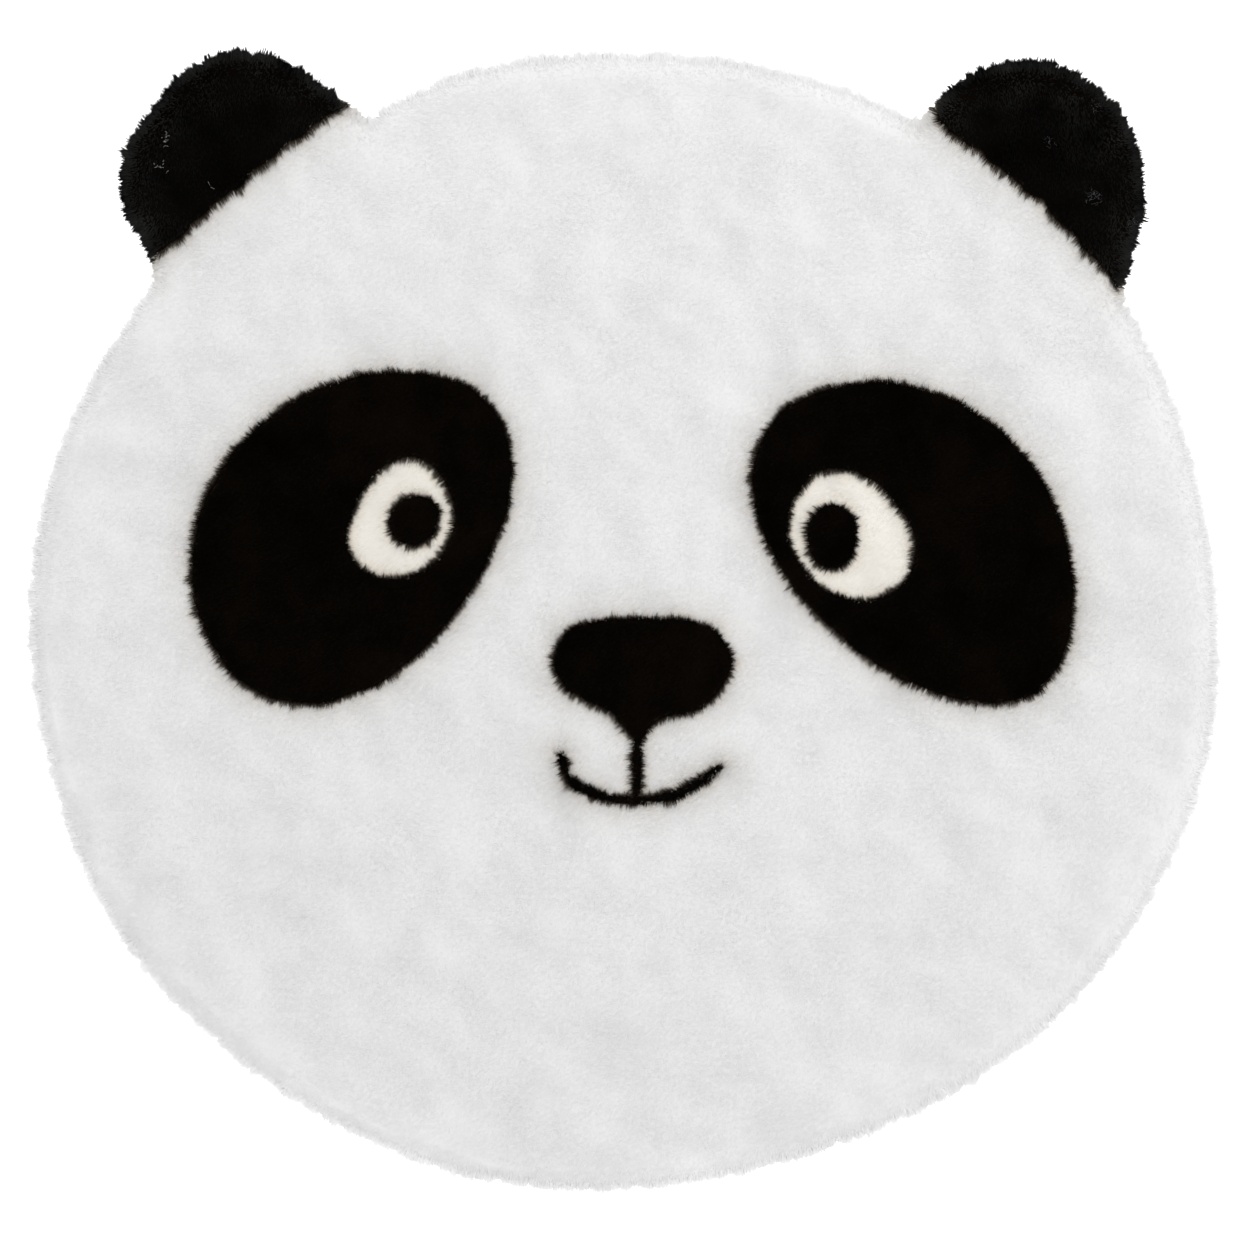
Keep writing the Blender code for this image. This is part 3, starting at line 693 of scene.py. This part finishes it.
def pile_tree():
    """Locks of pile scattered over the underfur, where a colour of the print lies. Each stands out of
    the underfur and leans with the nap and with its clump."""
    tree, given, result = new_group(
        "pile_locks",
        "GeometryNodeTree",
        {
            "Geometry": {"Geometry": None},
            "Material": {"Finish": None},
            "String": {"Depth Name": "white_depth"},
            "Int": {"Corners": 3, "Seed": 1},
            "Vector": {"Nap": NAP},
            "Float": {
                "Feather": 0.0015, "Outward": 1.0, "Over Edge": 0.0, "Deepest": 1.0,
                "Per Square Metre": 1e6, "From Rim": 0.0, "To Rim": 1.0, "Rim Blend": 0.003,
                "West": -1.0, "East": 1.0, "South": -1.0, "North": 1.0, "Width": 0.0012,
                "Sunk": 0.0004, "Tall": 0.0006, "Rim Rise": 0.0, "Uneven Tips": 0.18, "Tufted": 0.0,
                "Spiky": 0.0, "Splay": 0.0, "Overhang": 0.004, "Fanned": 0.022, "Swirl": 0.0016,
                "Clump": 0.0006, "Clump Size": 0.006, "Stray": 0.0007,
            },
        },
        {"Geometry": {"Geometry": None}},
    )
    maths, vectors = partial(maths_in, tree), partial(vectors_in, tree)
    value = given.outputs

    def named(name, kind="FLOAT"):
        found = put(tree, "GeometryNodeInputNamedAttribute", {"data_type": kind}, {"Name": name})
        return out(found, "Attribute")

    def arrow(name):
        return named(name, "FLOAT_VECTOR")

    def stored(geometry, name, kind, found, domain="POINT"):
        return out(put(tree, "GeometryNodeStoreNamedAttribute", {"data_type": kind, "domain": domain}, {
            "Geometry": geometry, "Name": name, "Value": found
        }))

    def moved(geometry, **to):
        return out(put(tree, "GeometryNodeSetPosition", inputs={"Geometry": geometry, **to}))

    def chance(low, high, seed, kind="FLOAT"):
        """A random number for each lock."""
        limits = {"Min": low, "Max": high, "Seed": maths("ADD", value["Seed"], seed)}
        return out(put(tree, "FunctionNodeRandomValue", {"data_type": kind}, limits))

    def where():
        return put(tree, "GeometryNodeInputPosition").outputs[0]

    def swirling(size, seed, stretch=1.0):
        """A vector that changes softly from place to place, from -1 to 1 each way."""
        at = vectors("MULTIPLY", vectors("ADD", where(), (seed, seed, 0)), (stretch, 1.0, 0.0))
        found = noise_at(tree, at, maths("DIVIDE", 1.0, size), 1.0).outputs["Color"]
        found = vectors("SUBTRACT", found, (0.5, 0.5, 0.5))
        return vectors("MULTIPLY", found, (3.0, 3.0, 0))

    def all_of(*tests):
        found = tests[0]
        for test in tests[1:]:
            found = out(put(tree, "FunctionNodeBooleanMath", {"operation": "AND"}, {0: found, 1: test}))
        return found

    def length(vector):
        return out(put(tree, "ShaderNodeVectorMath", {"operation": "LENGTH"}, {0: vector}), "Value")

    def over(high, low):
        return out(put(tree, "FunctionNodeCompare", {"operation": "GREATER_THAN"}, {0: high, 1: low}))

    def within(slack, blend=0.0):
        """True where the underfur carries this piece."""
        gap = maths("ADD", named("rim_gap"), blend)
        tests = []
        for found, low, high in (
            (part(tree, where(), "X"), "West", "East"),
            (part(tree, where(), "Y"), "South", "North"),
            (gap, "From Rim", "To Rim"),
        ):
            tests.append(over(maths("ADD", found, slack), value[low]))
            tests.append(over(value[high], maths("SUBTRACT", found, slack)))
        return all_of(*tests)

    depth = named(value["Depth Name"])
    near = maths("ADD", maths("ADD", value["Feather"], PRINT_WOBBLE / 2), UNDERFUR_STEP)
    upper = part(tree, put(tree, "GeometryNodeInputNormal").outputs[0], "Z")
    coloured = over(maths("ADD", depth, near), 0.0)
    scattered = put(tree, "GeometryNodeDistributePointsOnFaces", {"distribute_method": "RANDOM"}, {
        "Mesh": value["Geometry"], "Density": value["Per Square Metre"], "Seed": value["Seed"],
        "Selection": all_of(within(UNDERFUR_STEP), coloured, over(upper, UNDERSIDE)),
    })
    roots = stored(scattered.outputs["Points"], "up", "FLOAT_VECTOR", scattered.outputs["Normal"])
    up = arrow("up")
    swirl = vectors("MULTIPLY", swirling(SWIRL_SIZE, 7.0), value["Swirl"])
    clump = swirling(value["Clump Size"], 3.0, CLUMP_STRETCH)
    clump = vectors("MULTIPLY", clump, value["Clump"])
    level = maths("MAXIMUM", part(tree, up, "Z"), 0.0)
    inland = ranged(tree, named("rim_gap"), CALM_RIM, value["Fanned"], 0.0, 1.0, "SMOOTHSTEP")
    brushed = vectors("MULTIPLY", vectors("ADD", value["Nap"], swirl), inland)
    overhang = maths("MULTIPLY", maths("SUBTRACT", 1.0, inland), value["Overhang"])
    overhang = vectors("MULTIPLY", arrow("to_rim"), overhang)
    brushed = vectors("MULTIPLY", vectors("ADD", brushed, overhang), level)
    slack = maths("MULTIPLY", length(value["Nap"]), level)
    slack = maths("MAXIMUM", maths("SUBTRACT", slack, length(brushed)), 0.0)
    stray = maths("MULTIPLY_ADD", slack, 0.9, value["Stray"])
    stray = vectors("MULTIPLY", chance((-1, -1, -0.3), (1, 1, 0.3), 13, "FLOAT_VECTOR"), stray)
    splayed = vectors("MULTIPLY", arrow("way_out"), value["Splay"])
    brushed = vectors("ADD", brushed, splayed)
    rough = maths("MULTIPLY_ADD", value["Uneven Tips"], chance(-1.0, 1.0, 14), 1.0)
    edge = ranged(tree, named("rim_gap"), *TUFTED_RIM, 1.0, 0.0, "SMOOTHSTEP")
    tufted = maths("MULTIPLY", value["Tufted"], edge)
    for per_metre, amount in ((TUFTS_PER_METRE, tufted), (SPIKES_PER_METRE, value["Spiky"])):
        flat = vectors("MULTIPLY", where(), (1, 1, 0))
        gathered = about_zero(tree, noise_at(tree, flat, per_metre))
        rough = maths("MULTIPLY_ADD", gathered, amount, rough)
    rough = maths("MAXIMUM", rough, SHORTEST)
    lean = vectors("ADD", vectors("ADD", brushed, clump), stray)
    lean = vectors("MULTIPLY", lean, rough)
    tall = maths("MULTIPLY_ADD", value["Rim Rise"], edge, value["Tall"])
    tall = maths("MULTIPLY_ADD", tall, rough, value["Sunk"])

    # How far a lock's tip lies out of the nearest black from its root, and which locks lie on this print.
    way_out = arrow("way_out")
    gain = out(put(tree, "ShaderNodeVectorMath", {"operation": "DOT_PRODUCT"}, {0: lean, 1: way_out}))
    gain = maths("MULTIPLY", gain, value["Outward"])
    wander = about_zero(tree, noise_at(tree, where(), *PRINT_WANDER))
    wobble = maths("MULTIPLY", maths("MULTIPLY", wander, -PRINT_WOBBLE), value["Outward"])
    ragged = maths("MULTIPLY_ADD", value["Feather"], chance(-1.0, 1.0, 11), wobble)
    ragged = maths("ADD", depth, ragged)
    shown = maths("MULTIPLY_ADD", gain, maths("SUBTRACT", 1.0, value["Over Edge"]), ragged)
    blend = maths("MULTIPLY", chance(-1.0, 1.0, 12), value["Rim Blend"])
    shallow = maths("MULTIPLY", value["Deepest"], chance(0.3, 1.0, 18))
    wanted = all_of(within(0.0, blend), over(ragged, 0.0), over(shown, 0.0), over(shallow, ragged))
    for name, kind, found in (
        ("lean", "FLOAT_VECTOR", lean),
        ("tall", "FLOAT", tall),
        ("tone", "FLOAT", chance(0.0, 1.0, 15)),
        ("depth", "FLOAT", ragged),
        ("gain", "FLOAT", gain),
    ):
        roots = stored(roots, name, kind, found)
    unwanted = out(put(tree, "FunctionNodeBooleanMath", {"operation": "NOT"}, {0: wanted}))
    thinned = {"Geometry": roots, "Selection": unwanted}
    roots = out(put(tree, "GeometryNodeDeleteGeometry", {"domain": "POINT"}, thinned))
    roots = moved(roots, Offset=vectors("MULTIPLY", up, maths("MULTIPLY", value["Sunk"], -1.0)))

    # One lock: a leaf of a few triangles standing on its root, with its tip at 1.
    ring = {"Vertices": value["Corners"], "Radius": 1.0}
    leaf = out(put(tree, "GeometryNodeMeshCircle", {"fill_type": "NGON"}, ring))
    leaf = out(put(tree, "GeometryNodeTriangulate", inputs={"Mesh": leaf}))
    back = maths("COSINE", maths("DIVIDE", math.pi, value["Corners"]))
    share = maths("ADD", part(tree, where(), "X"), back)
    share = maths("DIVIDE", share, maths("ADD", back, 1.0))
    aside = maths("MULTIPLY", part(tree, where(), "Y"), LEAF_TURN)
    stood = put(tree, "ShaderNodeCombineXYZ", inputs={"X": aside, "Z": share}).outputs[0]
    leaf = stored(moved(leaf, Position=stood), "along", "FLOAT", part(tree, where(), "Z"))

    upright = out(put(tree, "FunctionNodeAlignRotationToVector", {"axis": "Z"}, {"Vector": up}))
    turned = chance((-1, -1, 0), (1, 1, 0), 16, "FLOAT_VECTOR")
    turned = vectors("MULTIPLY_ADD", turned, FACING_STRAY, FACING)
    turned = vectors("ADD", arrow("lean"), turned)
    facing = put(tree, "FunctionNodeAlignRotationToVector", {"axis": "Y", "pivot_axis": "Z"}, {
        "Rotation": upright, "Vector": turned
    })
    wide = maths("MULTIPLY", value["Width"], chance(0.7, 1.3, 17))
    size = put(tree, "ShaderNodeCombineXYZ", inputs={"X": wide, "Y": 1.0, "Z": named("tall")})
    locks = out(put(tree, "GeometryNodeInstanceOnPoints", inputs={
        "Points": roots, "Instance": leaf, "Rotation": out(facing), "Scale": size.outputs[0]
    }))
    locks = out(put(tree, "GeometryNodeRealizeInstances", inputs={"Geometry": locks}))
    bent = maths("POWER", named("along"), LOCK_BEND)
    deeper = maths("MULTIPLY_ADD", named("gain"), bent, named("depth"))
    locks = stored(locks, "depth", "FLOAT", deeper)
    bent_to = vectors("ADD", where(), vectors("MULTIPLY", arrow("lean"), bent))
    locks = moved(locks, Position=vectors("MAXIMUM", bent_to, (-1, -1, FLOOR_GAP)))
    locks = out(put(tree, "GeometryNodeSetShadeSmooth", inputs={"Geometry": locks, "Shade Smooth": True}))
    box = put(tree, "GeometryNodeBoundBox", inputs={"Geometry": locks}).outputs
    spread = vectors("SUBTRACT", box["Max"], box["Min"])
    spread = vectors("DIVIDE", vectors("SUBTRACT", where(), box["Min"]), spread)
    locks = stored(locks, "OFBake", "FLOAT2", spread, "CORNER")  # the map that a bake uses, from above
    dressed = {"Geometry": locks, "Material": value["Finish"]}
    locks = out(put(tree, "GeometryNodeSetMaterial", inputs=dressed))
    tree.links.new(locks, result.inputs["Geometry"])
    return tree


locks_tree = pile_tree()


def grow(name, slot, finish, **sizes):
    """A piece of pile grown out of the underfur and made into a plain mesh."""
    modifier = underfur.modifiers.new("pile", "NODES")
    modifier.node_group = locks_tree
    rows = locks_tree.interface.items_tree
    sockets = {row.name: row.identifier for row in rows if row.in_out == "INPUT"}
    for label, value in {**sizes, "Finish": finish}.items():
        modifier[sockets[label.replace("_", " ")]] = value
    depsgraph = bpy.context.evaluated_depsgraph_get()
    grown = underfur.evaluated_get(depsgraph)
    mesh = bpy.data.meshes.new_from_object(grown, preserve_all_data_layers=True, depsgraph=depsgraph)
    underfur.modifiers.remove(modifier)
    mesh.name = name
    mesh.materials.clear()  # of the empty slot that the lone leaf had
    mesh.polygons.foreach_set("material_index", np.zeros(len(mesh.polygons), np.int32))
    piece = new_piece(name, mesh, finish)
    return piece


def pile_material(name, finish, **surface_sizes):
    """A material for locks of pile, which carry their own depth in the print, tone and length."""
    material, tree, surface = new_material(name, 0.9, **surface_sizes)
    own = printed(tree, finish, read(tree, "depth"), read(tree, "tone"), read(tree, "along"))
    tree.links.new(own, surface.inputs["Base Color"])
    return material


white_finish = pile_material("white_pile", WHITE_PILE, sheen=0.1, specular=0.2)
white_locks = {"Depth_Name": "white_depth", "Feather": 0.0010, "From_Rim": RIM_BAND}
cheek_locks = {**white_locks, "North": BROW_LINE, "South": CHIN_LINE}
grow("brow_pile", "white_pile", white_finish, **white_locks, South=BROW_LINE, Seed=101)
grow("left_cheek_pile", "white_pile", white_finish, **cheek_locks, East=0.0, Seed=201)
grow("right_cheek_pile", "white_pile", white_finish, **cheek_locks, West=0.0, Seed=301)
grow("chin_pile", "white_pile", white_finish, **white_locks, North=CHIN_LINE, Seed=401)

# --- Black pile of the ears, eye patches and nose ------------------------------------------------
# The same pile, printed black through to its roots. The dye creeps along the fibres, so its edges
# are hairy and a little brown.
black_finish = pile_material("black_pile", BLACK_PILE, specular=0.0)
black_print = {"Depth_Name": "black_depth", "Outward": -1.0}
black_locks = {
    **black_print, "Over_Edge": 0.4, "From_Rim": RIM_BAND, "Per_Square_Metre": 7e5, "Width": 0.0013,
}
# The ears' black is painted several times lighter towards their rim, as a painted sheen.
EAR_PILE = {
    **BLACK_PILE, "Colour": (0.0024, 0.0024, 0.0023, 1), "Rim Painted Light": 8.0, "Painted Light Reach": 0.014,
    "Cloud Size": 0.022, "Clouds": 3.0,
}
ear_finish = pile_material("ear_pile", EAR_PILE, sheen=0.12, sheen_roughness=0.4, specular=0.0)
grow("ear_pile", "black_pile", ear_finish, **black_locks, Nap=(0.0, -0.0036, 0.0), South=0.235, Seed=501)
patch_locks = {**black_locks, "North": 0.22, "South": -0.10}
nose_locks = {**black_locks, "North": 0.02, "South": -0.16}
grow("eye_patch_pile", "black_pile", black_finish, **patch_locks, West=-0.4, East=-0.06, Seed=601)
grow("right_eye_patch_pile", "black_pile", black_finish, **patch_locks, West=0.09, East=0.4, Seed=701)
grow("nose_pile", "black_pile", black_finish, **nose_locks, West=-0.06, East=0.09, Seed=801)

# --- Cream pile of the eyes ----------------------------------------------------------------------
# The same pile again, printed a warm cream, in a ring round each pupil.
cream_finish = pile_material("cream_pile", CREAM_PILE, sheen=0.1, specular=0.2)
grow("eye_white_pile", "cream_pile", cream_finish, Depth_Name="cream_depth", Seed=901)

# --- Rim -----------------------------------------------------------------------------------------
# The outermost pile has nothing beside it, so it splays out over the cloth's cut edge and down to
# the floor, in small tufts.
# Its white is painted lighter than the head's, as painted light on the rim.
RIM_PILE_PAINTED_LIGHT = {**WHITE_PILE, "Colour": (0.98, 0.98, 0.98, 1), "Rim Painted Light": 0.0}
rim_painted_light_finish = pile_material("rim_pile", RIM_PILE_PAINTED_LIGHT, sheen=0.1, specular=0.2)
rim_locks = {
    "To_Rim": RIM_BAND, "Rim_Blend": 0.004, "Corners": 4, "Width": 0.0007, "Rim_Rise": 0.0022,
    "Sunk": 0.0012, "Uneven_Tips": 0.3, "Tufted": 2.8, "Overhang": 0.0066, "Clump": 0.0016,
    "Per_Square_Metre": 1.8e6,
}
grow("white_rim_pile", "white_pile", rim_painted_light_finish, Depth_Name="white_depth", **rim_locks, Seed=1001)
black_rim_locks = {**black_print, **rim_locks, "Over_Edge": 0.4, "Tufted": 2.2, "Uneven_Tips": 0.5}
grow("black_rim_pile", "black_pile", ear_finish, **black_rim_locks, Seed=1101)

# --- Hairy edges of the print --------------------------------------------------------------------
# Along the print's edges single long hairs splay out of the black and lie over the next colour. They
# are the pile's own fibres, a little brown where the dye runs out, with nothing added.
EDGE_HAIRS = {**BLACK_PILE, "Dye": (0.10, 0.083, 0.066, 1), "Dye Amount": 0.0, "Dye Outside": 0.8}
edge_finish = pile_material("edge_hairs", EDGE_HAIRS, specular=0.0)
edge_hairs = {
    **black_print, "Over_Edge": 1.0, "Deepest": 0.0020, "Feather": 0.0008, "Width": 0.00045,
    "Sunk": -0.0005, "Tall": 0.0018, "Uneven_Tips": 0.4, "Spiky": 3.4, "Swirl": 0.0, "Clump": 0.0010,
    "Clump_Size": 0.0025, "Per_Square_Metre": 8e6,
}
face_nap = {"Splay": 0.0036, "Nap": (-0.0006, -0.0005, 0.0), "Stray": 0.0007}
ear_nap = {"Splay": 0.0038, "Nap": (0.0, -0.0016, 0.0), "Stray": 0.0006}
grow("face_edge_hairs", "black_pile", edge_finish, **edge_hairs, **face_nap, North=0.22, Seed=1201)
grow("ear_edge_hairs", "black_pile", edge_finish, **edge_hairs, **ear_nap, South=0.22, Seed=1301)

# --- Lint ----------------------------------------------------------------------------------------
# Loose white fibres shed by the head's pile and caught on the black pile of the ears. They are fine,
# bent or curled, and only lie on the tips.
LINT = (
    # where they lie, how many there are, how far apart, and how thick
    ((-0.346, 0.362), 9, 0.0055, 0.00008),
    ((-0.349, 0.340), 7, 0.0050, 0.00008),
    ((-0.311, 0.327), 2, 0.0010, 0.00006),
    ((0.321, 0.361), 12, 0.0050, 0.00001),
    ((0.355, 0.318), 30, 0.0065, 0.000013),
    ((0.358, 0.387), 14, 0.0055, 0.00001),
    ((0.384, 0.301), 10, 0.0040, 0.00001),
)
FIBRE_LENGTH = (0.0015, 0.0050)
FIBRE_HEADING, FIBRE_CURL = 3.0, 3.5  # the most it turns either way, in radians
FIBRE_LIFT = 0.0006  # over the tips
FIBRE_STEPS = 7
LINT_SEED = 31


def add_fibre(shape, start, heading, curl, length, radius):
    """A thin bent thread with three sides and closed ends."""
    place, rings = Vector(start), []
    for step in range(FIBRE_STEPS + 1):
        way = heading + curl * step / FIBRE_STEPS
        across = Vector((-math.sin(way), math.cos(way), 0)) * radius
        middle = Vector((*place, tip_height(place) + FIBRE_LIFT))
        rings.append([shape.verts.new(middle + side) for side in (across, -across, Vector((0, 0, radius)))])
        place += Vector((math.cos(way), math.sin(way))) * length / FIBRE_STEPS
    shape.faces.new(rings[0])
    shape.faces.new(rings[-1][::-1])
    for low, high in zip(rings, rings[1:]):
        for i in range(3):
            shape.faces.new((low[i - 1], high[i - 1], high[i], low[i]))


shape, draw = bmesh.new(), random.Random(LINT_SEED)
for spot, count, spread, radius in LINT:
    for _ in range(count):
        start = [at + draw.gauss(0, 0.5) * spread for at in spot]
        heading = draw.uniform(-FIBRE_HEADING, FIBRE_HEADING)
        curl = draw.uniform(-FIBRE_CURL, FIBRE_CURL)
        add_fibre(shape, start, heading, curl, draw.uniform(*FIBRE_LENGTH), radius)
bmesh.ops.recalc_face_normals(shape, faces=shape.faces)
lint_mesh = bpy.data.meshes.new("lint")
shape.to_mesh(lint_mesh)
shape.free()
lint_finish, tree, surface = new_material("lint", 0.8)
set_values(surface, {"Base Color": (0.4, 0.4, 0.4, 1)})
new_piece("lint", lint_mesh, lint_finish)

# --- Floor, light and camera ---------------------------------------------------------------------
# The rug is seen from straight above on a pale floor that glows, in soft light from all round. One
# large soft lamp hangs over its upper right.
FLOOR_REACH = 20.0
FLOOR_GLOW, ROOM_GLOW = 2.1, 0.82
LAMP_PLACE, LAMP_SIZE, LAMP_WATTS = (0.65, 0.95, 1.85), (2.0, 2.0), 14.3
CAMERA_LENS, SENSOR = 100.0, 36.0
FRAME_WIDTH = 0.9378  # across the photograph, at the frame's height
FRAME_MIDDLE, FRAME_HEIGHT = (-0.0023, 0.0), 0.010

floor_finish, tree, surface = new_material("pale_floor", 0.9)
set_values(surface, {
    "Base Color": (0.9, 0.9, 0.9, 1), "Emission Color": (1, 1, 1, 1), "Emission Strength": FLOOR_GLOW
})
floor_mesh = bpy.data.meshes.new("floor")
corners = [(x * FLOOR_REACH, y * FLOOR_REACH, 0) for x, y in ((-1, -1), (1, -1), (1, 1), (-1, 1))]
floor_mesh.from_pydata(corners, [], [(0, 1, 2, 3)])
floor_mesh.materials.append(floor_finish)
floor = in_scene("floor", floor_mesh)

world = bpy.data.worlds.new("studio")
bpy.context.scene.world = world
world.use_nodes = True
set_values(world.node_tree.nodes["Background"], {"Color": (1, 1, 1, 1), "Strength": ROOM_GLOW})
lamp = bpy.data.lights.new("softbox", "AREA")
lamp.shape, lamp.energy = "RECTANGLE", LAMP_WATTS
lamp.size, lamp.size_y = LAMP_SIZE
softbox = in_scene("softbox", lamp)
softbox.location = LAMP_PLACE
softbox.rotation_euler = (-softbox.location).to_track_quat("-Z", "Y").to_euler()

camera_data = bpy.data.cameras.new("camera")
camera_data.lens, camera_data.sensor_width = CAMERA_LENS, SENSOR
camera = in_scene("camera", camera_data)
camera.location = (*FRAME_MIDDLE, FRAME_HEIGHT + FRAME_WIDTH * CAMERA_LENS / SENSOR)
bpy.context.scene.camera = camera
bpy.context.scene.view_settings.view_transform = "Standard"
